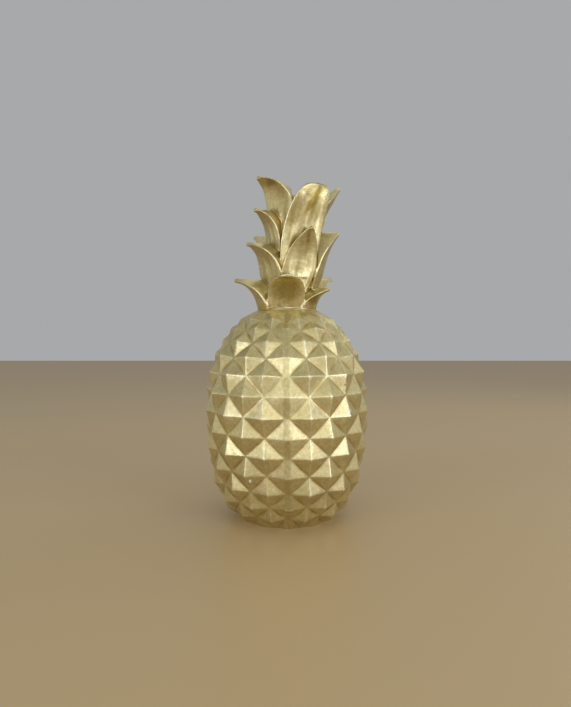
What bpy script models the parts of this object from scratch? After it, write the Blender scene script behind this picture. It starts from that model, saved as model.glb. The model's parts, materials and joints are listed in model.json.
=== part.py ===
"""Decorative pineapple: one hollow casting, painted antique gold, that stands on its flat underside.

The body is a round fruit covered with staggered rows of four-sided pyramids. A crown of thick
pointed leaves grows out of its neck and leans a little to one side.

Metres, +Z up. The origin is the centre of the underside. Azimuth 0 is the front (-Y), and
azimuths grow towards +X.
"""
import math
from collections import namedtuple

import bmesh
import bpy
from mathutils import Vector

# Outline of the body: two superellipse halves that meet at the widest height
WIDEST_HEIGHT = 0.108
WIDEST_RADIUS = 0.0842
UPPER_REACH = 0.10945
LOWER_REACH = 0.1132
UPPER_POWERS = (2.253, 2.2)
LOWER_POWERS = (2.0, 4.41)

# Pyramids: twelve to a row, each row turned by half a pyramid from the next
HALF_COLUMNS = 24
MIDDLE_ROW_HEIGHT = 0.111
ROWS_ABOVE = 6
ROWS_BELOW = 7
ROW_STEP_ABOVE = 0.235      # outline length between rows, as a share of the radius there
ROW_STEP_BELOW = 0.222
OUTLINE_STEP = 0.0001
VALLEY_DEPTH = 0.0049       # how deep the pyramids' corners lie at the widest row
VALLEY_DEPTH_AT_AXIS = 0.0024
TOP_ROW_DEPTHS = (0.0, 0.0034)  # the row under the collar: its tips, its corners
UNDERSIDE_SHARES = (1.0, 0.94)  # radius of the foot as a share: under its tips, its corners
ROW_TWIST = math.radians(3.3)
TWIST_AT_BASE = math.radians(1.8)
HAND_MADE = 0.0005          # how far a tip or a corner strays from its place
STRAY_WAVES = (12.9898, 78.233, 37.719)
STRAY_SCALE = 43758.5453

# Flat mould seams down the front and the back
SEAM_COLUMNS = (0, 12)
SEAM_HALF_WIDTH = 0.0023
SEAM_TIP_DEPTH = 0.0011
SEAM_VALLEY_DEPTH = 0.0040

# Smooth collar between the top row and the crown, with a raised wavy lip at the crown's foot:
# radius, height, and how much of the lip's waves each ring takes
COLLAR_OUTLINE = (
    (0.0260, 0.2118, 0.0),
    (0.0290, 0.2126, 1.0),
    (0.0306, 0.2116, 1.0),
    (0.0312, 0.2105, 0.5),
    (0.0340, 0.2095, 0.0),
    (0.0380, 0.2074, 0.0),
)
LIP_WAVES = ((3, 0.5, 0.0004), (8, 2.2, 0.0008))    # count, phase in radians, height
NECK_HEIGHT = 0.2115

# Crown: a leaning core that the leaves grow from
CROWN_LEAN = 0.095          # sideways run for each metre of rise
CORE_BASE = 0.198
CORE_TOP = 0.317
CORE_BASE_RADIUS = 0.0278
CORE_TOP_RADIUS = 0.0226
CORE_SIDES = 24
CORE_RINGS = 6
CORE_DOME_RINGS = 3
CORE_DOME_HEIGHT = 0.007

# Leaves: a curved spine, a round outer face, and a thick web that fills the corner behind it
LEAF_RINGS = 10
LEAF_OUTER_POINTS = 9
LEAF_RING_CROWDING = 1.35   # how much closer the rings stand towards the tip
LEAF_ROOT_RADIUS = 0.0190
LEAF_ROOT_DRAFT = 0.022     # how much closer to the axis the roots stand, for each metre up
LEAF_DEPTH_SHARE = 0.42
LEAF_LEAST_DEPTH = 0.0025
LEAF_TIP_HALF = 0.0012      # half width at the tip, for each unit of the taper power
LEAF_TIP_ROUND = 0.0014
LEAF_TAPER_ROOT = 0.8
LEAF_ROOT_SHARE = 0.45      # how slim a leaf starts inside the core
LEAF_FULL_AT = 0.30         # share of its length where it has swollen to its full section
LEAF_FLUTES = 4
RIM_PROUD = 0.0036          # for each radian of the rim's width
CREST_RADIUS = 0.012
CREST_BEND_AT = 0.45
CREST_BEHIND_TIP = 0.0022
WALL_STEPS = 3
WALL_PINCH = 0.65           # under 1 the web stays thick, over 1 it is pinched
WALL_SAG = 0.03             # hollow of the web's walls, as a share of their width
SPINE_LEAN_SHARE = 0.10
SPINE_RISE_SHARE = 0.60
SPINE_BEND_SHARE = 0.45

# One leaf: azimuth in degrees; root height, tip height, reach from the crown's axis and half
# width in millimetres; power of the taper (larger is broader at the tip); how far the tip rises
# (0 is level, 1 is steep); height of the web (1 is level with the tip); roll and sideways sweep
# of the tip in degrees; scoop of the outer face in millimetres (below 0 it swells); depth of
# its flutes as a share; width of the rim in radians of the section's half turn
Leaf = namedtuple("Leaf", "azimuth root tip reach half taper rise web roll sweep scoop flute rim")
LOWEST_LEAVES = (
    Leaf(-4, 201.0, 244, 41, 16.8, 3.6, 0.10, 0.80, 0, 0, 3.6, 0.05, 0.58),
    Leaf(-77, 202.2, 242, 56, 20.0, 1.9, 0.10, 0.98, 4, -14, 1.6, 0.04, 0.50),
    Leaf(64, 203.3, 232, 43, 17.5, 1.9, 0.10, 0.98, -10, 6, 0.0, 0.04, 0.50),
    Leaf(128, 201.7, 246, 57, 17.0, 1.9, 0.10, 0.95, 0, 0, 1.6, 0.04, 0.50),
    Leaf(-150, 202.8, 241, 49, 18.0, 2.2, 0.10, 0.85, 0, 0, 1.6, 0.04, 0.50),
)
SECOND_LEAVES = (
    Leaf(-57, 231.0, 278, 47, 19.5, 2.2, 0.10, 0.96, 0, -24, 3.5, 0.04, 0.50),
    Leaf(22, 229.0, 291, 35, 17.5, 2.0, 0.55, 0.62, 0, 6, 5.0, 0.04, 0.50),
    Leaf(98, 224.5, 291, 46, 16.5, 2.0, 0.35, 0.98, -8, 0, -4.5, 0.04, 0.50),
    Leaf(168, 232.2, 286, 46, 17.0, 2.0, 0.20, 0.85, 0, 0, 1.6, 0.04, 0.50),
    Leaf(-124, 235.8, 290, 50, 15.5, 2.0, 0.15, 0.98, 0, 0, 1.6, 0.04, 0.50),
)
THIRD_LEAVES = (
    Leaf(-62, 262.0, 311, 44, 14.0, 2.0, 0.12, 0.92, 0, -8, 3.2, 0.04, 0.50),
    Leaf(134, 264.4, 318, 43, 16.0, 2.0, 0.25, 0.90, 0, 0, 1.6, 0.04, 0.50),
    Leaf(-158, 266.1, 316, 44, 16.5, 2.0, 0.25, 0.90, 0, 0, 1.6, 0.04, 0.50),
)
TOP_LEAVES = (
    Leaf(-42, 287.0, 342.5, 44, 17.0, 3.2, 0.10, 0.86, 0, -28, 5.0, 0.03, 0.50),
    Leaf(18, 243.3, 333, 34, 18.8, 9.0, 0.60, 0.80, 0, 14, 5.0, 0.04, 0.50),
    Leaf(86, 279.6, 334.5, 41, 16.0, 2.4, 0.90, 0.62, 0, 0, 0.8, 0.04, 0.50),
    Leaf(146, 290.8, 335, 40, 16.0, 2.2, 0.35, 0.85, 0, 0, 1.6, 0.04, 0.50),
    Leaf(-160, 289.2, 336, 36, 17.0, 2.2, 0.40, 0.85, 0, 0, 1.6, 0.04, 0.50),
    Leaf(-110, 284.3, 329, 30, 14.0, 2.0, 0.30, 0.92, 0, 0, 1.6, 0.04, 0.50),
)
MILLIMETRE = 0.001

# Antique gold paint
GOLD_COLOUR = (0.52, 0.42, 0.19, 1.0)
GOLD_METALLIC = 0.85
GOLD_ROUGHNESS = 0.38
SHARP_ANGLE = math.radians(50)


def clear_scene():
    """Remove what the scene holds."""
    for item in list(bpy.data.objects):
        bpy.data.objects.remove(item, do_unlink=True)


def gold_paint():
    """The satin gold of the whole casting."""
    material = bpy.data.materials.new("antique gold")
    material.use_nodes = True
    shader = material.node_tree.nodes["Principled BSDF"]
    shader.inputs["Base Color"].default_value = GOLD_COLOUR
    shader.inputs["Metallic"].default_value = GOLD_METALLIC
    shader.inputs["Roughness"].default_value = GOLD_ROUGHNESS
    return material


def on_circle(azimuth, radius, height):
    """A point at an azimuth and radius about the upright axis."""
    return Vector((radius * math.sin(azimuth), -radius * math.cos(azimuth), height))


def body_radius(height):
    """Radius of the body's outline, over the tips of the pyramids."""
    if height >= WIDEST_HEIGHT:
        rise = (height - WIDEST_HEIGHT) / UPPER_REACH
        power, root = UPPER_POWERS
    else:
        rise = (WIDEST_HEIGHT - height) / LOWER_REACH
        power, root = LOWER_POWERS
    return WIDEST_RADIUS * (1 - rise ** power) ** (1 / root)


def next_row(height, direction, row_step):
    """Height of the next row of tips, one row step away along the outline."""
    travelled = 0.0
    while travelled < row_step and height > OUTLINE_STEP:
        following = height + direction * OUTLINE_STEP
        arc = math.hypot(OUTLINE_STEP, body_radius(following) - body_radius(height))
        travelled += arc / body_radius(height)
        height = following
    return height


def row_heights():
    """Heights of the rows of tips from the collar down, ending on the underside."""
    above = [MIDDLE_ROW_HEIGHT]
    for _ in range(ROWS_ABOVE):
        above.append(next_row(above[-1], 1, ROW_STEP_ABOVE))
    below = [MIDDLE_ROW_HEIGHT]
    for _ in range(ROWS_BELOW):
        below.append(next_row(below[-1], -1, ROW_STEP_BELOW))
    below[-1] = 0.0
    return above[::-1] + below[1:]


def uneven(row, column, channel):
    """A small fixed irregularity, between minus and plus HAND_MADE."""
    places = (row + 1, column + 1, channel)
    phase = sum(wave * place for wave, place in zip(STRAY_WAVES, places))
    swing = STRAY_SCALE * math.sin(phase)
    return HAND_MADE * (2 * (swing - math.floor(swing)) - 1)


def body_columns():
    """The half columns from left to right: number, and sideways shift for a seam's edges."""
    columns = []
    for number in range(HALF_COLUMNS):
        if number in SEAM_COLUMNS:
            columns.append((number, -SEAM_HALF_WIDTH))
            columns.append((number, SEAM_HALF_WIDTH))
        else:
            columns.append((number, 0.0))
    return columns


def sunk_point(height, depth):
    """Radius and height of a point that lies at a depth under the body's outline."""
    radius = body_radius(height)
    slope = (body_radius(height + OUTLINE_STEP) - radius) / OUTLINE_STEP
    level = depth / math.hypot(1.0, slope)
    return radius - level, height + level * slope


def body_point(row, height, number, shift, last_row):
    """One tip or corner of the pyramids, or one edge point of a seam."""
    azimuth = 2 * math.pi * number / HALF_COLUMNS
    azimuth += TWIST_AT_BASE - ROW_TWIST * height / NECK_HEIGHT
    radius = body_radius(height)
    is_tip = (row + number) % 2 == 1
    if row == last_row:
        share = UNDERSIDE_SHARES[0 if is_tip else 1]
        return on_circle(azimuth + shift / radius, radius * share, height)
    if row == 0:
        depth = TOP_ROW_DEPTHS[0 if is_tip else 1]
    elif shift:
        depth = SEAM_TIP_DEPTH if is_tip else SEAM_VALLEY_DEPTH
    elif is_tip:
        depth = 0.0
    else:
        fullness = radius / WIDEST_RADIUS
        depth = VALLEY_DEPTH_AT_AXIS + (VALLEY_DEPTH - VALLEY_DEPTH_AT_AXIS) * fullness
    radius, height = sunk_point(height, depth)
    if shift:
        return on_circle(azimuth + shift / radius, radius, height)
    azimuth += uneven(row, number, 0) / radius
    height += uneven(row, number, 1)
    return on_circle(azimuth, radius + uneven(row, number, 2), height)


def lip_wave(azimuth):
    """How far the lip is lifted at an azimuth."""
    return sum(rise * math.cos(count * azimuth + phase) for count, phase, rise in LIP_WAVES)


def body_mesh():
    """The closed body: pyramids on every side, a smooth collar and a flat underside."""
    mesh = bmesh.new()
    columns = body_columns()
    rings = []
    for radius, height, waviness in COLLAR_OUTLINE:
        ring = []
        for number, shift in columns:
            azimuth = 2 * math.pi * number / HALF_COLUMNS + shift / radius
            lift = waviness * lip_wave(azimuth)
            ring.append(mesh.verts.new(on_circle(azimuth, radius, height + lift)))
        rings.append(ring)
    heights = row_heights()
    last_row = len(heights) - 1
    for row, height in enumerate(heights):
        points = [body_point(row, height, number, shift, last_row) for number, shift in columns]
        rings.append([mesh.verts.new(point) for point in points])
    for index in range(len(rings) - 1):
        row = index - len(COLLAR_OUTLINE)
        for side in range(len(columns)):
            join_cell(mesh, rings, columns, index, side, row)
    mesh.faces.new(rings[0])
    mesh.faces.new(rings[-1])
    bmesh.ops.recalc_face_normals(mesh, faces=mesh.faces)
    return mesh


def join_cell(mesh, rings, columns, index, side, row):
    """Two triangles between two rings and two columns, folded along the valley."""
    following = (side + 1) % len(columns)
    upper_left = rings[index][side]
    upper_right = rings[index][following]
    lower_left = rings[index + 1][side]
    lower_right = rings[index + 1][following]
    upper_left_is_tip = (row + columns[side][0]) % 2 == 1
    if upper_left_is_tip:
        mesh.faces.new((upper_left, lower_left, upper_right))
        mesh.faces.new((upper_right, lower_left, lower_right))
    else:
        mesh.faces.new((upper_left, lower_left, lower_right))
        mesh.faces.new((upper_left, lower_right, upper_right))


def lean(point):
    """Shift a point of the crown sideways, as the crown leans."""
    return Vector((point.x + CROWN_LEAN * (point.z - NECK_HEIGHT), point.y, point.z))


def close_loft(mesh, rings, first_cap, last_cap):
    """Join rings of equal length side by side, and close both ends with a point."""
    count = len(rings[0])
    for lower, upper in zip(rings, rings[1:]):
        for side in range(count):
            following = (side + 1) % count
            mesh.faces.new((lower[side], lower[following], upper[following], upper[side]))
    for side in range(count):
        following = (side + 1) % count
        mesh.faces.new((first_cap, rings[0][following], rings[0][side]))
        mesh.faces.new((last_cap, rings[-1][side], rings[-1][following]))
    bmesh.ops.recalc_face_normals(mesh, faces=mesh.faces)


def core_outline():
    """Radius and height of the core's rings: a tapering stem that ends in a dome."""
    outline = []
    for ring in range(CORE_RINGS + 1):
        share = ring / CORE_RINGS
        radius = CORE_BASE_RADIUS + (CORE_TOP_RADIUS - CORE_BASE_RADIUS) * share
        outline.append((radius, CORE_BASE + (CORE_TOP - CORE_BASE) * share))
    for ring in range(1, CORE_DOME_RINGS):
        angle = 0.5 * math.pi * ring / CORE_DOME_RINGS
        height = CORE_TOP + CORE_DOME_HEIGHT * math.sin(angle)
        outline.append((CORE_TOP_RADIUS * math.cos(angle), height))
    return outline


def core_mesh():
    """The stem inside the crown."""
    mesh = bmesh.new()
    rings = []
    for radius, height in core_outline():
        ring = []
        for side in range(CORE_SIDES):
            azimuth = 2 * math.pi * side / CORE_SIDES
            ring.append(mesh.verts.new(lean(on_circle(azimuth, radius, height))))
        rings.append(ring)
    bottom = mesh.verts.new(lean(Vector((0.0, 0.0, CORE_BASE))))
    top = mesh.verts.new(lean(Vector((0.0, 0.0, CORE_TOP + CORE_DOME_HEIGHT))))
    close_loft(mesh, rings, bottom, top)
    return mesh


def leaf_ends(leaf):
    """Root and tip of a leaf's spine in its own upright plane, as (radius, height)."""
    root_height = leaf.root * MILLIMETRE
    draft = LEAF_ROOT_DRAFT * (root_height - CORE_BASE)
    root = Vector((LEAF_ROOT_RADIUS - draft, root_height))
    tip = Vector((leaf.reach * MILLIMETRE, leaf.tip * MILLIMETRE))
    return root, tip


def leaf_spine(leaf, share):
    """Place and direction of a leaf's spine: it climbs the core, then bends out to the tip."""
    root, tip = leaf_ends(leaf)
    reach, climb = tip - root
    first = root + Vector((SPINE_LEAN_SHARE * reach, SPINE_RISE_SHARE * climb))
    second = Vector((root.x + SPINE_BEND_SHARE * reach, tip.y - 0.5 * leaf.rise * climb))
    rest = 1 - share
    place = rest ** 3 * root + 3 * rest ** 2 * share * first
    place += 3 * rest * share ** 2 * second + share ** 3 * tip
    direction = rest ** 2 * (first - root) + 2 * rest * share * (second - first)
    direction += share ** 2 * (tip - second)
    return place, direction.normalized()


def leaf_crest(leaf, share):
    """Place of the web's crest: up inside the core, then out to the tip."""
    root, tip = leaf_ends(leaf)
    bottom = Vector((CREST_RADIUS, root.y))
    corner = Vector((CREST_RADIUS, root.y + leaf.web * (tip.y - root.y)))
    direction = leaf_spine(leaf, 1.0)[1]
    end = tip + CREST_BEHIND_TIP * Vector((-direction.y, direction.x))
    if share < CREST_BEND_AT:
        return bottom.lerp(corner, share / CREST_BEND_AT)
    return corner.lerp(end, (share - CREST_BEND_AT) / (1 - CREST_BEND_AT))


def leaf_outline(leaf, share):
    """The fluted outer face across the spine, as (sideways, outward) pairs in metres."""
    taper = (1 - share ** leaf.taper) ** LEAF_TAPER_ROOT
    swell = math.sin(0.5 * math.pi * min(share / LEAF_FULL_AT, 1.0))
    swell = LEAF_ROOT_SHARE + (1 - LEAF_ROOT_SHARE) * swell
    tip_half = LEAF_TIP_HALF * leaf.taper
    half = tip_half + (leaf.half * MILLIMETRE - tip_half) * taper * swell
    depth = LEAF_LEAST_DEPTH + LEAF_DEPTH_SHARE * half * taper
    outline = []
    for index in range(LEAF_OUTER_POINTS):
        angle = math.pi * index / (LEAF_OUTER_POINTS - 1)
        flute = 1 - leaf.flute * taper * (1 - math.cos(2 * LEAF_FLUTES * angle))
        outward = depth * math.sin(angle) * flute
        outward -= leaf.scoop * MILLIMETRE * taper * swell * math.sin(angle) ** 2
        edge = min(angle, math.pi - angle) / leaf.rim
        rim = RIM_PROUD * leaf.rim * min(1.0, 2 * taper) * math.exp(-edge ** 2)
        outline.append(((half + rim) * math.cos(angle), outward + rim))
    return outline


def leaf_point(leaf, share, across, radius, height):
    """A point of a leaf: sideways from its plane, and a radius and height in that plane."""
    azimuth = math.radians(leaf.azimuth + leaf.sweep * share ** 2)
    point = on_circle(azimuth, radius, height)
    point += across * Vector((math.cos(azimuth), math.sin(azimuth), 0.0))
    return lean(point)


def wall_place(rim, crest, step):
    """A point of the web's wall, some steps of the way back from a rim to the crest."""
    across, radius, height = rim
    back = step / WALL_STEPS
    width = math.hypot(radius - crest.x, height - crest.y)
    sag = WALL_SAG * width * 4 * back * (1 - back)
    return (across * (1 - back) ** WALL_PINCH,
            radius + (crest.x - radius) * back,
            height + (crest.y - height) * back - sag)


def leaf_ring(leaf, share):
    """All points of a leaf at one share of its length: outer face, wall, crest and wall."""
    place, direction = leaf_spine(leaf, share)
    roll = math.radians(leaf.roll) * share
    flat = []
    for sideways, outward in leaf_outline(leaf, share):
        across = sideways * math.cos(roll) - outward * math.sin(roll)
        through = sideways * math.sin(roll) + outward * math.cos(roll)
        flat.append((across, place.x + through * direction.y, place.y - through * direction.x))
    crest = leaf_crest(leaf, share)
    first_rim, last_rim = flat[0], flat[-1]
    flat += [wall_place(last_rim, crest, step) for step in range(1, WALL_STEPS + 1)]
    flat += [wall_place(first_rim, crest, step) for step in range(WALL_STEPS - 1, 0, -1)]
    return [leaf_point(leaf, share, *point) for point in flat]


def leaf_mesh(leaf):
    """One closed leaf, from its root inside the core to its rounded tip."""
    mesh = bmesh.new()
    rings = []
    for step in range(LEAF_RINGS):
        share = 1 - (1 - step / (LEAF_RINGS - 1)) ** LEAF_RING_CROWDING
        rings.append([mesh.verts.new(point) for point in leaf_ring(leaf, share)])
    root, tip = leaf_ends(leaf)
    direction = leaf_spine(leaf, 1.0)[1]
    end = tip + LEAF_TIP_ROUND * direction
    root_cap = mesh.verts.new(leaf_point(leaf, 0.0, 0.0, root.x, root.y))
    tip_cap = mesh.verts.new(leaf_point(leaf, 1.0, 0.0, end.x, end.y))
    close_loft(mesh, rings, root_cap, tip_cap)
    return mesh


def as_object(name, mesh):
    """Turn a bmesh into a named object's mesh."""
    data = bpy.data.meshes.new(name)
    mesh.to_mesh(data)
    mesh.free()
    return bpy.data.objects.new(name, data)


def crown_parts():
    """A collection of the core and the leaves, which the casting takes in."""
    parts = bpy.data.collections.new("crown parts")
    bpy.context.scene.collection.children.link(parts)
    parts.objects.link(as_object("crown core", core_mesh()))
    for leaf in LOWEST_LEAVES + SECOND_LEAVES + THIRD_LEAVES + TOP_LEAVES:
        name = "leaf at %d from %d" % (leaf.azimuth, leaf.root)
        parts.objects.link(as_object(name, leaf_mesh(leaf)))
    for item in parts.objects:
        item.data.shade_smooth()
        item.data.set_sharp_from_angle(angle=SHARP_ANGLE)
        item.hide_render = True
        item.display_type = "WIRE"
    return parts


def build_pineapple():
    """The whole casting: the body joined with the crown's parts."""
    pineapple = as_object("pineapple", body_mesh())
    bpy.context.scene.collection.objects.link(pineapple)
    pineapple.data.materials.append(gold_paint())
    union = pineapple.modifiers.new("crown", "BOOLEAN")
    union.operation = "UNION"
    union.operand_type = "COLLECTION"
    union.collection = crown_parts()
    union.solver = "EXACT"
    return pineapple


clear_scene()
build_pineapple()
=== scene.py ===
# %% [markdown]
# # A gold pineapple, dressed over its plain solid
# The ornament is one hollow casting, painted antique gold, that stands on its flat underside.
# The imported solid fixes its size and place. This script loads it, models a finer skin of the
# same form over it, paints that skin, and sets up a camera and studio lights.
# Lengths are in metres. The origin is the centre of the underside, and the front is -Y.

# %% Load the solid part
import json
import math
from collections import namedtuple

import bpy
import numpy as np
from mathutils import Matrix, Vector
from mathutils.kdtree import KDTree

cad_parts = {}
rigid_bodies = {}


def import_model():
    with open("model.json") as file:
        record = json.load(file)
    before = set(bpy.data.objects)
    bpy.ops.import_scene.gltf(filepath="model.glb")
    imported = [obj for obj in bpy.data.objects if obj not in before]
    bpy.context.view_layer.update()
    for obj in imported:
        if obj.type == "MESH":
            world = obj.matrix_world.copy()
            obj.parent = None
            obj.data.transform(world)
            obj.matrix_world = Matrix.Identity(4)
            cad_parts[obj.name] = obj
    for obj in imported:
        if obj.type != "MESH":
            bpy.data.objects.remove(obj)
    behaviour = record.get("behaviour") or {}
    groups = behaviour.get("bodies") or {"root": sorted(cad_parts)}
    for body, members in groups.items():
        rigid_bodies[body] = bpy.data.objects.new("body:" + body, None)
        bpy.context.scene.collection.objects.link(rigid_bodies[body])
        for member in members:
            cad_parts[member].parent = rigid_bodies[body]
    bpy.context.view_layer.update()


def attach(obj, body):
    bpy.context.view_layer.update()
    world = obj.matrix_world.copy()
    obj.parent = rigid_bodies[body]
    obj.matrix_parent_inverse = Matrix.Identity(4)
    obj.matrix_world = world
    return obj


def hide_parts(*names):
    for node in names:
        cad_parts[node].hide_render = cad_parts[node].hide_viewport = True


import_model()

# %% [markdown]
# ## The camera
# A camera is described by where it stands and how long its lens is. Both were worked out from
# the photograph: the horizon's row gives the camera's height, and the ornament's size in the
# picture gives the lens. Making the camera first means every later step can be checked in it.

# %% Place the camera
PICTURE_HEIGHT = 707            # pixels
FOCAL_PIXELS = 560.0
HORIZON_ROW = 331.0
FILM_SIZE = 36.0                # millimetres, along the picture's longer side
CAMERA_DISTANCE = 0.579
CAMERA_HEIGHT = 0.190
CAMERA_SIDE = -0.0013

camera_data = bpy.data.cameras.new("camera")
camera_data.sensor_width = FILM_SIZE
camera_data.lens = FOCAL_PIXELS * FILM_SIZE / PICTURE_HEIGHT
camera_pitch = math.atan((PICTURE_HEIGHT / 2 - HORIZON_ROW) / FOCAL_PIXELS)
camera = bpy.data.objects.new("camera", camera_data)
camera.location = (CAMERA_SIDE, -CAMERA_DISTANCE, CAMERA_HEIGHT)
camera.rotation_euler = (math.pi / 2 - camera_pitch, 0, 0)
bpy.context.scene.collection.objects.link(camera)
bpy.context.scene.camera = camera
print("lens %.1f mm, looking down %.1f degrees" % (camera_data.lens, math.degrees(camera_pitch)))

# %% [markdown]
# ## The body's outline
# Seen from the side, the body is an egg: two rounded curves that meet at the widest height.
# One formula gives the radius at any height, so every row of pyramids can follow it. Rows lie
# closer together towards both ends, because each pyramid keeps its shape as the body narrows.

# %% Outline and rows
WIDEST_HEIGHT = 0.108
WIDEST_RADIUS = 0.0842
UPPER_REACH = 0.10945
LOWER_REACH = 0.1132
UPPER_POWERS = (2.253, 2.2)
LOWER_POWERS = (2.0, 4.41)
MIDDLE_ROW_HEIGHT = 0.111
ROWS_ABOVE = 6
ROWS_BELOW = 7
ROW_STEP_ABOVE = 0.235          # outline length between rows, as a share of the radius there
ROW_STEP_BELOW = 0.222
OUTLINE_STEP = 0.0001


def body_radius(height):
    """Radius of the body over the tips of the pyramids."""
    if height >= WIDEST_HEIGHT:
        rise = (height - WIDEST_HEIGHT) / UPPER_REACH
        power, root = UPPER_POWERS
    else:
        rise = (WIDEST_HEIGHT - height) / LOWER_REACH
        power, root = LOWER_POWERS
    return WIDEST_RADIUS * (1 - rise ** power) ** (1 / root)


def next_row(height, direction, row_step):
    """Height of the next row of tips, one row step away along the outline."""
    travelled = 0.0
    while travelled < row_step and height > OUTLINE_STEP:
        following = height + direction * OUTLINE_STEP
        arc = math.hypot(OUTLINE_STEP, body_radius(following) - body_radius(height))
        travelled += arc / body_radius(height)
        height = following
    return height


rows_up = [MIDDLE_ROW_HEIGHT]
for _ in range(ROWS_ABOVE):
    rows_up.append(next_row(rows_up[-1], 1, ROW_STEP_ABOVE))
rows_down = [MIDDLE_ROW_HEIGHT]
for _ in range(ROWS_BELOW):
    rows_down.append(next_row(rows_down[-1], -1, ROW_STEP_BELOW))
rows_down[-1] = 0.0
row_heights = rows_up[::-1] + rows_down[1:]
last_row = len(row_heights) - 1
print("rows of tips, millimetres up:", [round(height * 1000, 1) for height in row_heights])

# %% [markdown]
# ## The place of each tip and corner
# The pyramids are staggered like bricks, so along any row every second point is a tip and the
# points between are sunk corners. The same rule serves both, and only the depth differs. Two
# flat mould seams run down the front and the back, where a column is split in two. A small
# fixed stray for each point keeps the rows from looking machined.

# %% Rule for the pyramids' points
HALF_COLUMNS = 24
VALLEY_DEPTH = 0.0049
VALLEY_DEPTH_AT_AXIS = 0.0024
TOP_ROW_DEPTHS = (0.0, 0.0034)  # in the row under the collar: its tips, its corners
UNDERSIDE_SHARES = (1.0, 0.94)  # share of the radius at the foot: under tips, under corners
ROW_TWIST = math.radians(3.3)
TWIST_AT_BASE = math.radians(1.8)
HAND_MADE = 0.0005              # the most that a point strays
STRAY_WAVES = (12.9898, 78.233, 37.719)
STRAY_SCALE = 43758.5453
SEAM_COLUMNS = (0, 12)
SEAM_HALF_WIDTH = 0.0023
SEAM_TIP_DEPTH = 0.0011
SEAM_VALLEY_DEPTH = 0.0040
NECK_HEIGHT = 0.2115


def on_circle(azimuth, radius, height):
    """A point at an azimuth and radius about the upright axis."""
    return Vector((radius * math.sin(azimuth), -radius * math.cos(azimuth), height))


def uneven(row, column, channel):
    """A small fixed irregularity, between minus and plus HAND_MADE."""
    places = (row + 1, column + 1, channel)
    phase = sum(wave * place for wave, place in zip(STRAY_WAVES, places))
    swing = STRAY_SCALE * math.sin(phase)
    return HAND_MADE * (2 * (swing - math.floor(swing)) - 1)


def sunk_point(height, depth):
    """Radius and height of a point that lies at a depth under the body's outline."""
    radius = body_radius(height)
    slope = (body_radius(height + OUTLINE_STEP) - radius) / OUTLINE_STEP
    level = depth / math.hypot(1.0, slope)
    return radius - level, height + level * slope


def is_tip(row, number):
    """True for the points that stand proud."""
    return (row + number) % 2 == 1


def body_point(row, number, shift):
    """One tip or corner of the pyramids, or one edge point of a seam."""
    height = row_heights[row]
    azimuth = 2 * math.pi * number / HALF_COLUMNS
    azimuth += TWIST_AT_BASE - ROW_TWIST * height / NECK_HEIGHT
    radius = body_radius(height)
    if row == last_row:
        share = UNDERSIDE_SHARES[0 if is_tip(row, number) else 1]
        return on_circle(azimuth + shift / radius, radius * share, height)
    if row == 0:
        depth = TOP_ROW_DEPTHS[0 if is_tip(row, number) else 1]
    elif shift:
        depth = SEAM_TIP_DEPTH if is_tip(row, number) else SEAM_VALLEY_DEPTH
    elif is_tip(row, number):
        depth = 0.0
    else:
        fullness = radius / WIDEST_RADIUS
        depth = VALLEY_DEPTH_AT_AXIS + (VALLEY_DEPTH - VALLEY_DEPTH_AT_AXIS) * fullness
    radius, height = sunk_point(height, depth)
    if shift:
        return on_circle(azimuth + shift / radius, radius, height)
    azimuth += uneven(row, number, 0) / radius
    height += uneven(row, number, 1)
    return on_circle(azimuth, radius + uneven(row, number, 2), height)


columns = []
for number in range(HALF_COLUMNS):
    if number in SEAM_COLUMNS:
        columns.append((number, -SEAM_HALF_WIDTH))
        columns.append((number, SEAM_HALF_WIDTH))
    else:
        columns.append((number, 0.0))
print("columns of points round the body:", len(columns))

# %% [markdown]
# ## The body, extruded from one circle
# A body like this could be turned on a lathe and carved. Here it starts as a circle at the
# neck, is extruded down and widened row by row, and then each point moves to its tip or
# corner. The first rings are a smooth collar with a raised, slightly wavy lip, where the crown
# begins.

# %% Extrude the body
def start_clean():
    """Leave nothing selected, because loading leaves the solid part selected."""
    if bpy.context.object and bpy.context.object.mode == "EDIT":
        bpy.ops.object.mode_set(mode="OBJECT")
    bpy.ops.object.select_all(action="DESELECT")


# Rings of the smooth collar: radius, height, and how much of the lip's waves a ring takes
COLLAR_OUTLINE = (
    (0.0260, 0.2118, 0.0),
    (0.0290, 0.2126, 1.0),
    (0.0306, 0.2116, 1.0),
    (0.0312, 0.2105, 0.5),
    (0.0340, 0.2095, 0.0),
    (0.0380, 0.2074, 0.0),
)
LIP_WAVES = ((3, 0.5, 0.0004), (8, 2.2, 0.0008))        # count, phase in radians, height

body_outline = [(radius, height) for radius, height, waviness in COLLAR_OUTLINE]
body_outline += [(body_radius(height), height) for height in row_heights]
start_clean()
first_radius, first_height = body_outline[0]
bpy.ops.mesh.primitive_circle_add(vertices=len(columns), radius=first_radius,
                                  location=(0, 0, first_height))
body = bpy.context.object
body.name = "body"
bpy.ops.object.transform_apply(location=True, rotation=True, scale=True)
bpy.ops.object.mode_set(mode="EDIT")
bpy.ops.mesh.select_all(action="SELECT")
for (radius, height), (wider, lower) in zip(body_outline, body_outline[1:]):
    bpy.ops.mesh.extrude_edges_move(TRANSFORM_OT_translate={"value": (0, 0, lower - height)})
    growth = wider / radius
    bpy.ops.transform.resize(value=(growth, growth, 1), center_override=(0, 0, lower))
bpy.ops.object.mode_set(mode="OBJECT")
print("rings of the body:", len(body_outline))

# %% [markdown]
# ## Pyramids out of a smooth wall
# On the real one every pyramid has four flat faces that meet in sharp ridges. The extruded wall
# has one point for each tip and each corner, so the rule above moves them into place. Its faces
# are then four-sided and bent. Joining the sunk corners across each face folds it along the
# valley between two pyramids, which needs no cutting and leaves no loose points.

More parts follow.
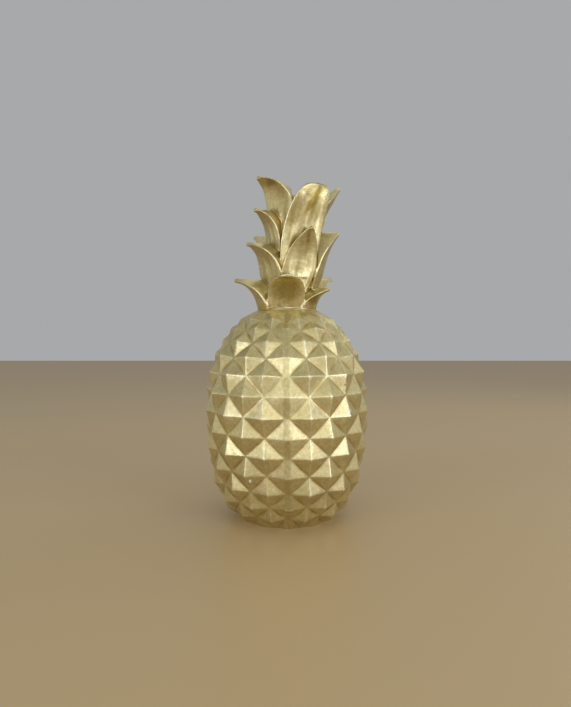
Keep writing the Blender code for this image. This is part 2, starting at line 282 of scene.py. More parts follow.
# %% Set the points and fold the faces
ring_heights = [height for radius, height in body_outline]
corners = []
for vertex in body.data.vertices:
    distances = [abs(vertex.co.z - height) for height in ring_heights]
    row = distances.index(min(distances)) - len(COLLAR_OUTLINE)
    turn = math.atan2(vertex.co.x, -vertex.co.y) % (2 * math.pi)
    side = round(turn / (2 * math.pi) * len(columns)) % len(columns)
    number, shift = columns[side]
    if row < 0:
        radius, height, waviness = COLLAR_OUTLINE[row + len(COLLAR_OUTLINE)]
        azimuth = 2 * math.pi * number / HALF_COLUMNS + shift / radius
        lift = sum(rise * math.cos(count * azimuth + phase) for count, phase, rise in LIP_WAVES)
        vertex.co = on_circle(azimuth, radius, height + waviness * lift)
    else:
        vertex.co = body_point(row, number, shift)
    corners.append(row >= 0 and not is_tip(row, number))

body.data.vertices.foreach_set("select", corners)
bpy.ops.object.mode_set(mode="EDIT")
bpy.ops.mesh.select_mode(type="VERT")
bpy.ops.mesh.vert_connect()
bpy.ops.mesh.select_all(action="SELECT")
bpy.ops.mesh.fill_holes(sides=0)
bpy.ops.mesh.select_all(action="SELECT")
bpy.ops.mesh.normals_make_consistent(inside=False)
bpy.ops.object.mode_set(mode="OBJECT")
print("body:", len(body.data.vertices), "points,", len(body.data.polygons), "faces")

# %% [markdown]
# ## The crown's stem
# The leaves grow out of a short stem that leans to one side. On the ornament its face shows
# between the leaves as soft upright flutes. A cylinder with many sides gives the stem, its top
# is inset and raised into a dome, and every point is then moved in or out by the flutes' wave.

# %% Make the stem
CROWN_LEAN = 0.095              # sideways run for each metre of rise
CORE_BASE = 0.198
CORE_TOP = 0.317
CORE_BASE_RADIUS = 0.0278
CORE_TOP_RADIUS = 0.0226
CORE_SIDES = 96
CORE_DOME_RINGS = 3
CORE_DOME_HEIGHT = 0.007
CORE_FLUTES = 13
CORE_FLUTE_DEPTH = 0.0007
FACES_UP = 0.9                  # least upward normal of a face on top


def lean(point):
    """Shift a point of the crown sideways, as the crown leans."""
    return Vector((point.x + CROWN_LEAN * (point.z - NECK_HEIGHT), point.y, point.z))


start_clean()
core_height = CORE_TOP - CORE_BASE
bpy.ops.mesh.primitive_cylinder_add(vertices=CORE_SIDES, radius=CORE_BASE_RADIUS,
                                    depth=core_height,
                                    location=(0, 0, CORE_BASE + core_height / 2))
core = bpy.context.object
core.name = "stem"
bpy.ops.object.transform_apply(location=True, rotation=True, scale=True)
for face in core.data.polygons:
    face.select = face.normal.z > FACES_UP
bpy.ops.object.mode_set(mode="EDIT")
bpy.ops.mesh.select_mode(type="FACE")
narrowing = CORE_TOP_RADIUS / CORE_BASE_RADIUS
bpy.ops.transform.resize(value=(narrowing, narrowing, 1), center_override=(0, 0, CORE_TOP))
dome_height = 0.0
dome_radius = CORE_TOP_RADIUS
for ring in range(1, CORE_DOME_RINGS + 1):
    angle = 0.5 * math.pi * ring / (CORE_DOME_RINGS + 0.5)      # stops short of the top
    inset = dome_radius - CORE_TOP_RADIUS * math.cos(angle)
    rise = CORE_DOME_HEIGHT * math.sin(angle) - dome_height
    bpy.ops.mesh.inset(thickness=inset, depth=0)
    bpy.ops.transform.translate(value=(0, 0, rise))
    dome_radius -= inset
    dome_height += rise
bpy.ops.object.mode_set(mode="OBJECT")
for vertex in core.data.vertices:
    turn = math.atan2(vertex.co.x, -vertex.co.y)
    growth = 1 + CORE_FLUTE_DEPTH * math.cos(CORE_FLUTES * turn) / CORE_BASE_RADIUS
    vertex.co.x *= growth
    vertex.co.y *= growth
    vertex.co = lean(vertex.co)
print("stem:", len(core.data.polygons), "faces, top at %.4f" % (CORE_TOP + dome_height))

# %% [markdown]
# ## The list of leaves
# Nineteen leaves stand in four tiers. Each is described by a few plain measures: where it
# points, where it starts and ends, how wide it is, and how it curls. Naming the measures makes
# a leaf easy to change, and the same rule then builds all of them.

# %% Measures of every leaf
# Azimuth in degrees; root height, tip height, reach from the crown's axis and half width in
# millimetres; power of the taper (larger is broader at the tip); how far the tip rises (0 is
# level, 1 is steep); height of the web (1 is level with the tip); roll and sideways sweep of
# the tip in degrees; scoop of the outer face in millimetres (below 0 it swells); depth of its
# flutes as a share; width of the rim in radians of the section's half turn
Leaf = namedtuple("Leaf", "azimuth root tip reach half taper rise web roll sweep scoop flute rim")
LOWEST_LEAVES = (
    Leaf(-4, 201.0, 244, 41, 16.8, 3.6, 0.10, 0.80, 0, 0, 3.6, 0.05, 0.58),
    Leaf(-77, 202.2, 242, 56, 20.0, 1.9, 0.10, 0.98, 4, -14, 1.6, 0.04, 0.50),
    Leaf(64, 203.3, 232, 43, 17.5, 1.9, 0.10, 0.98, -10, 6, 0.0, 0.04, 0.50),
    Leaf(128, 201.7, 246, 57, 17.0, 1.9, 0.10, 0.95, 0, 0, 1.6, 0.04, 0.50),
    Leaf(-150, 202.8, 241, 49, 18.0, 2.2, 0.10, 0.85, 0, 0, 1.6, 0.04, 0.50),
)
SECOND_LEAVES = (
    Leaf(-57, 231.0, 278, 47, 19.5, 2.2, 0.10, 0.96, 0, -24, 3.5, 0.04, 0.50),
    Leaf(22, 229.0, 291, 35, 17.5, 2.0, 0.55, 0.62, 0, 6, 5.0, 0.04, 0.50),
    Leaf(98, 224.5, 291, 46, 16.5, 2.0, 0.35, 0.98, -8, 0, -4.5, 0.04, 0.50),
    Leaf(168, 232.2, 286, 46, 17.0, 2.0, 0.20, 0.85, 0, 0, 1.6, 0.04, 0.50),
    Leaf(-124, 235.8, 290, 50, 15.5, 2.0, 0.15, 0.98, 0, 0, 1.6, 0.04, 0.50),
)
THIRD_LEAVES = (
    Leaf(-62, 262.0, 311, 44, 14.0, 2.0, 0.12, 0.92, 0, -8, 3.2, 0.04, 0.50),
    Leaf(134, 264.4, 318, 43, 16.0, 2.0, 0.25, 0.90, 0, 0, 1.6, 0.04, 0.50),
    Leaf(-158, 266.1, 316, 44, 16.5, 2.0, 0.25, 0.90, 0, 0, 1.6, 0.04, 0.50),
)
TOP_LEAVES = (
    Leaf(-42, 287.0, 342.5, 44, 17.0, 3.2, 0.10, 0.86, 0, -28, 5.0, 0.03, 0.50),
    Leaf(18, 243.3, 333, 34, 18.8, 9.0, 0.60, 0.80, 0, 14, 5.0, 0.04, 0.50),
    Leaf(86, 279.6, 334.5, 41, 16.0, 2.4, 0.90, 0.62, 0, 0, 0.8, 0.04, 0.50),
    Leaf(146, 290.8, 335, 40, 16.0, 2.2, 0.35, 0.85, 0, 0, 1.6, 0.04, 0.50),
    Leaf(-160, 289.2, 336, 36, 17.0, 2.2, 0.40, 0.85, 0, 0, 1.6, 0.04, 0.50),
    Leaf(-110, 284.3, 329, 30, 14.0, 2.0, 0.30, 0.92, 0, 0, 1.6, 0.04, 0.50),
)
leaves = LOWEST_LEAVES + SECOND_LEAVES + THIRD_LEAVES + TOP_LEAVES
print("leaves:", len(leaves))

# %% [markdown]
# ## The run of one leaf
# A leaf of the real one climbs the stem, then bends out to its tip, and a thick web fills the
# corner behind it. Such a run could be drawn by hand as a curve. Here one formula gives it for
# every leaf: the spine is a curve with four control points, and the web's crest is two
# straight lines.

# %% Rule for a leaf's spine and crest
MILLIMETRE = 0.001
LEAF_ROOT_RADIUS = 0.0190
LEAF_ROOT_DRAFT = 0.022         # how much closer to the axis the roots stand, per metre up
SPINE_LEAN_SHARE = 0.10
SPINE_RISE_SHARE = 0.60
SPINE_BEND_SHARE = 0.45
CREST_RADIUS = 0.012
CREST_BEND_AT = 0.45
CREST_BEHIND_TIP = 0.0022


def leaf_ends(leaf):
    """Root and tip of a leaf's spine in its own upright plane, as (radius, height)."""
    root_height = leaf.root * MILLIMETRE
    draft = LEAF_ROOT_DRAFT * (root_height - CORE_BASE)
    root = Vector((LEAF_ROOT_RADIUS - draft, root_height))
    tip = Vector((leaf.reach * MILLIMETRE, leaf.tip * MILLIMETRE))
    return root, tip


def leaf_spine(leaf, share):
    """Place and direction of a leaf's spine: it climbs the stem, then bends out to the tip."""
    root, tip = leaf_ends(leaf)
    reach, climb = tip - root
    first = root + Vector((SPINE_LEAN_SHARE * reach, SPINE_RISE_SHARE * climb))
    second = Vector((root.x + SPINE_BEND_SHARE * reach, tip.y - 0.5 * leaf.rise * climb))
    rest = 1 - share
    place = rest ** 3 * root + 3 * rest ** 2 * share * first
    place += 3 * rest * share ** 2 * second + share ** 3 * tip
    direction = rest ** 2 * (first - root) + 2 * rest * share * (second - first)
    direction += share ** 2 * (tip - second)
    return place, direction.normalized()


def leaf_crest(leaf, share):
    """Place of the web's crest: up inside the stem, then out to the tip."""
    root, tip = leaf_ends(leaf)
    bottom = Vector((CREST_RADIUS, root.y))
    corner = Vector((CREST_RADIUS, root.y + leaf.web * (tip.y - root.y)))
    direction = leaf_spine(leaf, 1.0)[1]
    end = tip + CREST_BEHIND_TIP * Vector((-direction.y, direction.x))
    if share < CREST_BEND_AT:
        return bottom.lerp(corner, share / CREST_BEND_AT)
    return corner.lerp(end, (share - CREST_BEND_AT) / (1 - CREST_BEND_AT))


print("middle of the front leaf's spine:", leaf_spine(leaves[0], 0.5)[0])

# %% [markdown]
# ## The section of one leaf
# Cut across, a leaf has a rounded outer face with faint flutes, scooped in its middle, and a
# raised round rim on each side. From the rims two slightly sunk walls run back to the crest,
# so the leaf is thick and casts well. The section is worked out as a ring of points, because
# the same rule then makes it wide in the middle and slim at both ends.

# %% Rule for a leaf's section
OUTER_POINTS = 36
WALL_POINTS = 10
LEAF_DEPTH_SHARE = 0.42
LEAF_LEAST_DEPTH = 0.0025
LEAF_TIP_HALF = 0.0012          # half width at the tip, for each unit of the taper's power
LEAF_TAPER_ROOT = 0.8
LEAF_ROOT_SHARE = 0.45          # how slim a leaf starts inside the stem
LEAF_FULL_AT = 0.30             # share of its length where it has its full section
LEAF_FLUTES = 4
RIM_PROUD = 0.0036              # for each radian of the rim's width
WALL_PINCH = 0.65               # under 1 the web stays thick, over 1 it is pinched
WALL_SAG = 0.03                 # how far its walls sink, as a share of their width


def outer_face(leaf, share):
    """The fluted outer face across the spine, as (sideways, outward) pairs in metres."""
    taper = (1 - share ** leaf.taper) ** LEAF_TAPER_ROOT
    swell = math.sin(0.5 * math.pi * min(share / LEAF_FULL_AT, 1.0))
    swell = LEAF_ROOT_SHARE + (1 - LEAF_ROOT_SHARE) * swell
    tip_half = LEAF_TIP_HALF * leaf.taper
    half = tip_half + (leaf.half * MILLIMETRE - tip_half) * taper * swell
    depth = LEAF_LEAST_DEPTH + LEAF_DEPTH_SHARE * half * taper
    outline = []
    for index in range(OUTER_POINTS):
        angle = math.pi * index / (OUTER_POINTS - 1)
        flute = 1 - leaf.flute * taper * (1 - math.cos(2 * LEAF_FLUTES * angle))
        outward = depth * math.sin(angle) * flute
        outward -= leaf.scoop * MILLIMETRE * taper * swell * math.sin(angle) ** 2
        edge = min(angle, math.pi - angle) / leaf.rim
        rim = RIM_PROUD * leaf.rim * min(1.0, 2 * taper) * math.exp(-edge ** 2)
        sideways = (half + rim) * math.cos(angle)
        outline.append((sideways, outward + rim))
    return outline


def leaf_point(leaf, share, across, radius, height):
    """A point of a leaf: sideways from its plane, and a radius and height in that plane."""
    azimuth = math.radians(leaf.azimuth + leaf.sweep * share ** 2)
    point = on_circle(azimuth, radius, height)
    point += across * Vector((math.cos(azimuth), math.sin(azimuth), 0.0))
    return lean(point)


def wall_place(rim, crest, step):
    """A point of the web's wall, some steps of the way back from a rim to the crest."""
    across, radius, height = rim
    back = step / WALL_POINTS
    width = math.hypot(radius - crest.x, height - crest.y)
    sag = WALL_SAG * width * 4 * back * (1 - back)
    return (across * (1 - back) ** WALL_PINCH,
            radius + (crest.x - radius) * back,
            height + (crest.y - height) * back - sag)


def leaf_ring(leaf, share):
    """All points round a leaf at one share of its length: outer face, wall, crest, wall."""
    place, direction = leaf_spine(leaf, share)
    roll = math.radians(leaf.roll) * share
    flat = []
    for sideways, outward in outer_face(leaf, share):
        across = sideways * math.cos(roll) - outward * math.sin(roll)
        through = sideways * math.sin(roll) + outward * math.cos(roll)
        flat.append((across, place.x + through * direction.y, place.y - through * direction.x))
    crest = leaf_crest(leaf, share)
    first_rim, last_rim = flat[0], flat[-1]
    flat += [wall_place(last_rim, crest, step) for step in range(1, WALL_POINTS + 1)]
    flat += [wall_place(first_rim, crest, step) for step in range(WALL_POINTS - 1, 0, -1)]
    return [leaf_point(leaf, share, *point) for point in flat]


print("points round a leaf:", len(leaf_ring(leaves[0], 0.5)))

# %% [markdown]
# ## The leaves
# Each leaf could be extruded ring by ring along its spine. A ball is quicker: it has rings from
# pole to pole and both its ends are closed, so it is pulled into shape by giving every ring of
# the ball its place along the leaf. All leaves are made this way, each with its own mesh.

# %% Pull each leaf out of a ball
LEAF_RINGS = 46
LEAF_TIP_ROUND = 0.0014
RING_CROWDING = 1.35            # how much closer the rings stand towards the tip
SECTION_POINTS = OUTER_POINTS + 2 * WALL_POINTS - 1


def pulled_leaf(leaf):
    """A closed leaf made from a ball primitive."""
    start_clean()
    bpy.ops.mesh.primitive_uv_sphere_add(segments=SECTION_POINTS, ring_count=LEAF_RINGS + 1,
                                         radius=1.0, location=(0, 0, 0))
    shape = bpy.context.object
    shape.name = "leaf_%d_%d" % (leaf.azimuth, leaf.root)
    root, tip = leaf_ends(leaf)
    end = tip + LEAF_TIP_ROUND * leaf_spine(leaf, 1.0)[1]
    places = {0: [leaf_point(leaf, 0.0, 0.0, root.x, root.y)] * SECTION_POINTS,
              LEAF_RINGS + 1: [leaf_point(leaf, 1.0, 0.0, end.x, end.y)] * SECTION_POINTS}
    for step in range(LEAF_RINGS):
        share = 1 - (1 - step / (LEAF_RINGS - 1)) ** RING_CROWDING
        places[step + 1] = leaf_ring(leaf, share)
    for vertex in shape.data.vertices:
        polar = math.acos(max(-1.0, min(1.0, -vertex.co.z)))
        ring = round(polar / math.pi * (LEAF_RINGS + 1))
        turn = math.atan2(vertex.co.y, vertex.co.x) / (2 * math.pi)
        vertex.co = places[ring][round(turn * SECTION_POINTS) % SECTION_POINTS]
    bpy.ops.object.mode_set(mode="EDIT")
    bpy.ops.mesh.select_all(action="SELECT")
    bpy.ops.mesh.normals_make_consistent(inside=False)
    bpy.ops.object.mode_set(mode="OBJECT")
    return shape


leaf_shapes = [pulled_leaf(leaf) for leaf in leaves]
print("leaf faces:", sum(len(shape.data.polygons) for shape in leaf_shapes))

# %% [markdown]
# ## One casting
# The real ornament came out of one mould, so nothing on it meets at a knife-sharp line. The
# body, stem and leaves are joined and remeshed as one skin of small even squares. A few rounds
# of smoothing round the ridges and fill the corners a little, as thick paint does. The collar
# and the crown are smoothed further, because the real ones were worked soft by hand. A cloud
# texture then moves the skin by a fraction of a millimetre, as no casting is quite even.

# %% Join and remesh
VOXEL = 0.00062
SMOOTH_ROUNDS = 2
SMOOTH_FACTOR = 0.5

# Name of a zone, the heights where it begins, is full and ends, and its rounds
SOFT_ZONES = (
    ("collar", 0.2030, 0.2060, 0.2095, 6),
    ("crown", 0.2150, 0.2200, 0.3600, 5),
)

CLOUD_SIZE = 0.011
CLOUD_HEIGHT = 0.0004
CLOUD_MIDDLE = 0.5              # the texture's value that moves nothing
FLAT_UNDER = 0.0006             # points lower than this rest on the floor


def apply_modifier(shape, name, kind, **settings):
    """Add one modifier, set it up and apply it."""
    modifier = shape.modifiers.new(name, kind)
    for setting, value in settings.items():
        setattr(modifier, setting, value)
    bpy.context.view_layer.objects.active = shape
    bpy.ops.object.modifier_apply(modifier=name)


start_clean()
for shape in [core, body] + leaf_shapes:
    shape.select_set(True)
bpy.context.view_layer.objects.active = body
bpy.ops.object.join()
pineapple = bpy.context.object
pineapple.name = "gold_pineapple"
pineapple.data.name = "gold_pineapple"
apply_modifier(pineapple, "one skin", "REMESH", mode="VOXEL", voxel_size=VOXEL)
apply_modifier(pineapple, "soften", "SMOOTH", factor=SMOOTH_FACTOR, iterations=SMOOTH_ROUNDS)
for zone, start, full, end, rounds in SOFT_ZONES:
    group = pineapple.vertex_groups.new(name=zone)
    for vertex in pineapple.data.vertices:
        if start < vertex.co.z < end:
            softness = (vertex.co.z - start) / (full - start)
            group.add([vertex.index], min(1.0, softness), "REPLACE")
    apply_modifier(pineapple, "soften the " + zone, "SMOOTH", factor=SMOOTH_FACTOR,
                   iterations=rounds, vertex_group=zone)
clouds = bpy.data.textures.new("hand made", "CLOUDS")
clouds.noise_scale = CLOUD_SIZE
clouds.noise_depth = 1
apply_modifier(pineapple, "unevenness", "DISPLACE", texture=clouds, strength=CLOUD_HEIGHT,
               mid_level=CLOUD_MIDDLE, texture_coords="LOCAL")
for vertex in pineapple.data.vertices:
    if vertex.co.z < FLAT_UNDER:
        vertex.co.z = 0.0
print("one skin:", len(pineapple.data.vertices), "points")

# %% [markdown]
# ## Where the paint wears, and where highlight and shade are painted
# Edges are painted pale, partly as rubbed wear and partly as painted highlight, and hollows are
# painted brown, partly as pooled paint and partly as painted shade. To find both, each point is
# averaged with its neighbours many times in a copy: points on an edge sink, and points in a
# hollow rise. How far each one moved along its normal tells which it is. A few rounds find the
# sharp ridges, more rounds find the round rims of the leaves, and many find the wide hollows.

# %% Measure edges and hollows
EDGE_ROUNDS = 6
RIM_ROUNDS = 22
HOLLOW_ROUNDS = 90
PRINTED_PERCENTILES = (1, 10, 50, 90, 99)


def sunk_by_averaging(mesh, rounds):
    """How far each point of a mesh sinks along its normal when it is averaged."""
    count = len(mesh.vertices)
    places = np.empty(count * 3)
    mesh.vertices.foreach_get("co", places)
    places = places.reshape(-1, 3)
    normals = np.empty(count * 3)
    mesh.vertex_normals.foreach_get("vector", normals)
    normals = normals.reshape(-1, 3)
    ends = np.empty(len(mesh.edges) * 2, int)
    mesh.edges.foreach_get("vertices", ends)
    first, second = ends.reshape(-1, 2).T
    neighbours = np.bincount(first, minlength=count) + np.bincount(second, minlength=count)
    average = places.copy()
    for _ in range(rounds):
        for axis in range(3):
            line = average[:, axis]
            total = np.bincount(first, line[second], count)
            total += np.bincount(second, line[first], count)
            average[:, axis] = total / neighbours
    return places, ((places - average) * normals).sum(axis=1)


places, edge_rise = sunk_by_averaging(pineapple.data, EDGE_ROUNDS)
rim_rise = sunk_by_averaging(pineapple.data, RIM_ROUNDS)[1]
hollow_rise = sunk_by_averaging(pineapple.data, HOLLOW_ROUNDS)[1]
for name, rise in (("edges", edge_rise), ("rims", rim_rise), ("hollows", hollow_rise)):
    spread = np.percentile(rise / MILLIMETRE, PRINTED_PERCENTILES)
    print(name + ", millimetres:", np.round(spread, 3))

# %% [markdown]
# ## A lighter mesh
# The even skin has far more points than flat faces need. Decimating it keeps small triangles
# on the ridges and leaves and merges the rest. Each point that is left then takes the values of
# the nearest point of the fine skin: from the ridges on the body, for rubbed wear and painted
# highlight, and from the rims on the crown, for painted highlight. The hollow values, for pooled
# paint and painted shade, come over too. They are kept as attributes, which the paint can read.

# %% Thin out the mesh and carry the wear, highlight and shade values over
MOST_TRIANGLES = 185000
FULL_EDGE = 0.00020             # a rise of this much counts as fully rubbed and highlit
FULL_RIM = 0.00065
FULL_HOLLOW = 0.00085
CROWN_RIM_HIGHLIGHT = 0.65               # the painted highlight on the crown's rims is weaker than on the body's ridges

triangles = sum(len(face.vertices) - 2 for face in pineapple.data.polygons)
apply_modifier(pineapple, "thin out", "DECIMATE", ratio=MOST_TRIANGLES / triangles,
               use_collapse_triangulate=True)
for vertex in pineapple.data.vertices:
    vertex.co.z = max(0.0, vertex.co.z)
tree = KDTree(len(places))
for index, place in enumerate(places):
    tree.insert(place, index)
tree.balance()
nearest = [tree.find(vertex.co)[1] for vertex in pineapple.data.vertices]
heights = np.array([vertex.co.z for vertex in pineapple.data.vertices])
# Body ridges: rubbed wear and painted highlight; crown rims: painted highlight
ridge_wear_and_highlight = np.clip(edge_rise[nearest] / FULL_EDGE, -1, 1)
rim_highlight = np.clip(rim_rise[nearest] / FULL_RIM, -1, 1) * CROWN_RIM_HIGHLIGHT
wear_and_highlight = pineapple.data.attributes.new("wear_and_highlight", "FLOAT", "POINT")
wear_and_highlight.data.foreach_set("value", np.where(heights > NECK_HEIGHT, rim_highlight, ridge_wear_and_highlight))
hollow = pineapple.data.attributes.new("hollow", "FLOAT", "POINT")
hollow.data.foreach_set("value", np.clip(-hollow_rise[nearest] / FULL_HOLLOW, -1, 1))
start_clean()
pineapple.select_set(True)
bpy.context.view_layer.objects.active = pineapple
bpy.ops.object.shade_smooth()
print("triangles:", len(pineapple.data.polygons))

# %% [markdown]
# ## Helpers for the paint
# A finish is a small network of shader nodes, and writing each node out takes many lines. A few
# short helpers add them instead: noise, a soft ramp, arithmetic and a mix of colours. All
# noise reads object coordinates, so the paint stays in place on the ornament.

# %% Helpers for shader nodes
NOISE_MIDDLE = 0.5              # noise swings evenly about this value

gold = bpy.data.materials.new("antique_gold")
gold.use_nodes = True
tree_nodes = gold.node_tree.nodes
tree_links = gold.node_tree.links
shader = tree_nodes["Principled BSDF"]


def node(kind, **settings):
    """Add a shader node and set it up."""
    made = tree_nodes.new(kind)
    for setting, value in settings.items():
        setattr(made, setting, value)
    return made


def feed(socket, value):
    """Give a socket a link or a plain value."""
    if isinstance(value, bpy.types.NodeSocket):
        tree_links.new(value, socket)
    else:
        socket.default_value = value


def noise(scale, detail, roughness, seed):
    """Noise on object coordinates, in features per metre."""
    made = node("ShaderNodeTexNoise", noise_dimensions="4D")
    feed(made.inputs["Vector"], object_place)
    feed(made.inputs["W"], seed)
    feed(made.inputs["Scale"], scale)
    feed(made.inputs["Detail"], detail)
    feed(made.inputs["Roughness"], roughness)
    return made.outputs["Fac"]


def between(value, low, high, out_low=0.0, out_high=1.0):
    """A soft ramp of a value from low to high."""
    made = node("ShaderNodeMapRange", interpolation_type="SMOOTHSTEP")
    for name, number in (("Value", value), ("From Min", low), ("From Max", high),
                         ("To Min", out_low), ("To Max", out_high)):
        feed(made.inputs[name], number)
    return made.outputs["Result"]


def calculate(kind, first, second):
    """One arithmetic step."""
    made = node("ShaderNodeMath", operation=kind)
    feed(made.inputs[0], first)
    feed(made.inputs[1], second)
    return made.outputs[0]


def ragged(value, by, amount):
    """A value that noise moves up and down."""
    swing = calculate("SUBTRACT", by, NOISE_MIDDLE)
    return calculate("ADD", value, calculate("MULTIPLY", swing, amount))


def blend_colours(share, first, second):
    """A mix of two colours."""
    made = node("ShaderNodeMix", data_type="RGBA")
    feed(made.inputs["Factor"], share)
    feed(made.inputs[6], first)
    feed(made.inputs[7], second)
    return made.outputs[2]


object_place = node("ShaderNodeTexCoord").outputs["Object"]
split_place = node("ShaderNodeSeparateXYZ")
feed(split_place.inputs[0], object_place)
height = split_place.outputs["Z"]
print("material:", gold.name)

# %% [markdown]
# ## Antique gold
# The finish is metallic paint dabbed on by hand: a warm gold with fine greenish specks. It is
# browner in the hollows, partly as pooled paint and partly as painted shade, and in the low
# valleys, where the brown is painted shade that grows darker towards the floor. One colour would
# look like plastic, so noise at three sizes gives the tone its life, and the edge and hollow
# values say where the brown and the painted shade go.

# %% Mix the gold paint
GOLD = (0.64, 0.52, 0.212, 1)
PALE_GOLD = (0.78, 0.69, 0.375, 1)
GREENISH = (0.39, 0.335, 0.125, 1)
# Brown for the hollows and valleys: partly pooled paint, partly painted shade
BROWN_AND_SHADE = (0.34, 0.205, 0.035, 1)

# Noise: features per metre, detail, roughness, seed
SPECKS = (1150, 3, 0.6, 0.0)
DABS = (300, 4, 0.6, 3.0)
DRIFTS = (45, 3, 0.5, 7.0)

# Ramps: the value where a layer begins and where it is full, its least and its largest share
PALE_RAMP = (0.30, 0.72, 0.0, 1.0)
DRIFT_RAMP = (0.35, 0.70, 0.0, 0.4)
SPECK_RAMP = (0.48, 0.62, 0.0, 0.52)
POOL_AND_SHADE_RAMP = (0.30, 1.15, 0.0, 0.7)
VALLEY_SHADE_RAMP = (-0.35, -1.0)
VALLEY_SHADE_HEIGHTS = (0.15, 0.09, 0.0, 0.5)      # metres up: the painted shade in the valleys grows darker on the way down
POOL_AND_SHADE_RAGGED = 0.7

edge = node("ShaderNodeAttribute", attribute_name="wear_and_highlight").outputs["Fac"]
pooled_and_shaded = node("ShaderNodeAttribute", attribute_name="hollow").outputs["Fac"]
specks = noise(*SPECKS)
dabs = noise(*DABS)
drifts = noise(*DRIFTS)

tone = blend_colours(between(dabs, *PALE_RAMP), GOLD, PALE_GOLD)
tone = blend_colours(between(drifts, *DRIFT_RAMP), tone, GREENISH)
tone = blend_colours(between(specks, *SPECK_RAMP), tone, GREENISH)
# Brown in the hollows, partly pooled paint and partly painted shade, then painted shade in the
# valleys, darker lower down
tone = blend_colours(between(ragged(pooled_and_shaded, dabs, POOL_AND_SHADE_RAGGED), *POOL_AND_SHADE_RAMP), tone, BROWN_AND_SHADE)
valley_shade_share = between(height, *VALLEY_SHADE_HEIGHTS)
tone = blend_colours(between(edge, *VALLEY_SHADE_RAMP, 0.0, valley_shade_share), tone, BROWN_AND_SHADE)
print("nodes for the first coats:", len(tree_nodes))

# %% [markdown]
# ## Brown wash, painted shade and dull patches
# A browner coat is painted in a few places: inside the front leaf, in the fold of the tall leaf
# and under some leaf tips it is painted shade, and on the collar it darkens a few patches. The
# gold is darkened as painted shade on the tall leaf and on the leaf before it, and it is duller
# along the front seam. A painted image could hold all this.
# Here each mark is a soft-edged ball, moved, tilted and stretched into place and frayed by
# noise, because that needs no image and is easy to move.

# %% Add the brown wash, the painted shade and the dull patches
# Brown for painted shade inside the front leaf, in the tall leaf's fold and under leaf tips, and
# for patches on the collar
WASH_AND_SHADE_BROWN = (0.29, 0.205, 0.028, 1)
# Dull gold: painted shade on the tall leaf and the leaf before it, and a darker band along the
# front seam
DULL_AND_SHADE_GOLD = (0.36, 0.295, 0.105, 1)
MARK_FADE = (1.2, 0.6)          # in half sizes: where a mark begins, where it is full
FRAY = 0.7

# Middle as x, y, z and half sizes, all in millimetres; tilt in degrees; strength
# Brown marks: painted shade on the leaves, darker patches on the collar
WASHES_AND_SHADE = (
    (0, -38, 231, 14, 20, 17, 0, 0.68),
    (26, -38, 317, 3.8, 20, 18, 31, 0.92),
    (-18.5, -34, 335, 11, 20, 5, -12, 0.60),
    (20, -38, 272, 3.0, 16, 20, 8, 0.65),
    (28.5, -30, 220, 10, 18, 9, 20, 0.80),
    (-22, -30, 297, 5, 16, 10, -25, 0.45),
    (-27, -30, 258, 4, 16, 8, -20, 0.25),
    (0.6, -38, 202, 4, 14, 6, 0, 0.40),
    (16, -36, 206, 5, 14, 2.5, -4, 0.55),
    (-17, -35, 203, 4, 12, 3.5, 0, 0.35),
)
# Painted shade on the tall leaf and the leaf before it; one long mark darkens the front seam
DULL_AND_SHADED_PATCHES = (
    (28, -32, 306, 6, 20, 27, 22, 0.85),
    (24, -30, 330, 17, 20, 11, 12, 0.85),
    (17, -34, 262, 9, 16, 22, 14, 0.80),
    (13, -34, 250, 12, 16, 12, 0, 0.70),
    (0.2, -62, 105, 2.9, 45, 130, -0.7, 0.25),
    (9, -32, 306, 5, 16, 16, 14, 0.40),
)


def marked(marks, frayed_by):
    """Where a list of marks lies, from 0 to 1."""
    total = 0.0
    for x, y, z, wide, deep, tall, tilt, strength in marks:
        placed = node("ShaderNodeMapping", vector_type="TEXTURE")
        feed(placed.inputs["Vector"], object_place)
        feed(placed.inputs["Location"], (x * MILLIMETRE, y * MILLIMETRE, z * MILLIMETRE))
        feed(placed.inputs["Rotation"], (0.0, math.radians(tilt), 0.0))
        feed(placed.inputs["Scale"], (wide * MILLIMETRE, deep * MILLIMETRE, tall * MILLIMETRE))
        away = node("ShaderNodeVectorMath", operation="LENGTH")
        feed(away.inputs[0], placed.outputs["Vector"])
        frayed = ragged(away.outputs["Value"], frayed_by, FRAY)
        total = calculate("MAXIMUM", total, between(frayed, *MARK_FADE, 0.0, strength))
    return total


# Painted shade on two leaves and a darker front seam
tone = blend_colours(marked(DULL_AND_SHADED_PATCHES, dabs), tone, DULL_AND_SHADE_GOLD)
# The brown marks: painted shade on the leaves, patches on the collar
tone = blend_colours(marked(WASHES_AND_SHADE, dabs), tone, WASH_AND_SHADE_BROWN)
print("washes and dull patches:", len(WASHES_AND_SHADE) + len(DULL_AND_SHADED_PATCHES))

# %% [markdown]
# ## Rubbed edges, painted highlights, scuffs and a pit
# The body's ridges are painted pale, partly as rubbed wear and partly as painted highlight, and
# the rims of the leaves get painted highlight the same way, unevenly, so the finest noise makes
# the values ragged. The lip of the collar and the rim of the front leaf get painted highlights,
# and the body has three pale scuffs and one dark pit. These are marks like the washes, only
# smaller. They come last, because damage lies on top of every coat of paint.

# %% Add the rubbed edges, the painted highlights and the damage
# Pale gold for rubbed wear on the ridges and for painted highlight on ridges and rims
RUBBED_AND_HIGHLIGHT_GOLD = (0.92, 0.85, 0.57, 1)
CHALK = (0.86, 0.84, 0.78, 1)
PIT_DARK = (0.10, 0.08, 0.05, 1)
RUB_AND_HIGHLIGHT_RAMP = (0.42, 1.05, 0.0, 0.72)
RUB_AND_HIGHLIGHT_RAGGED = 0.45

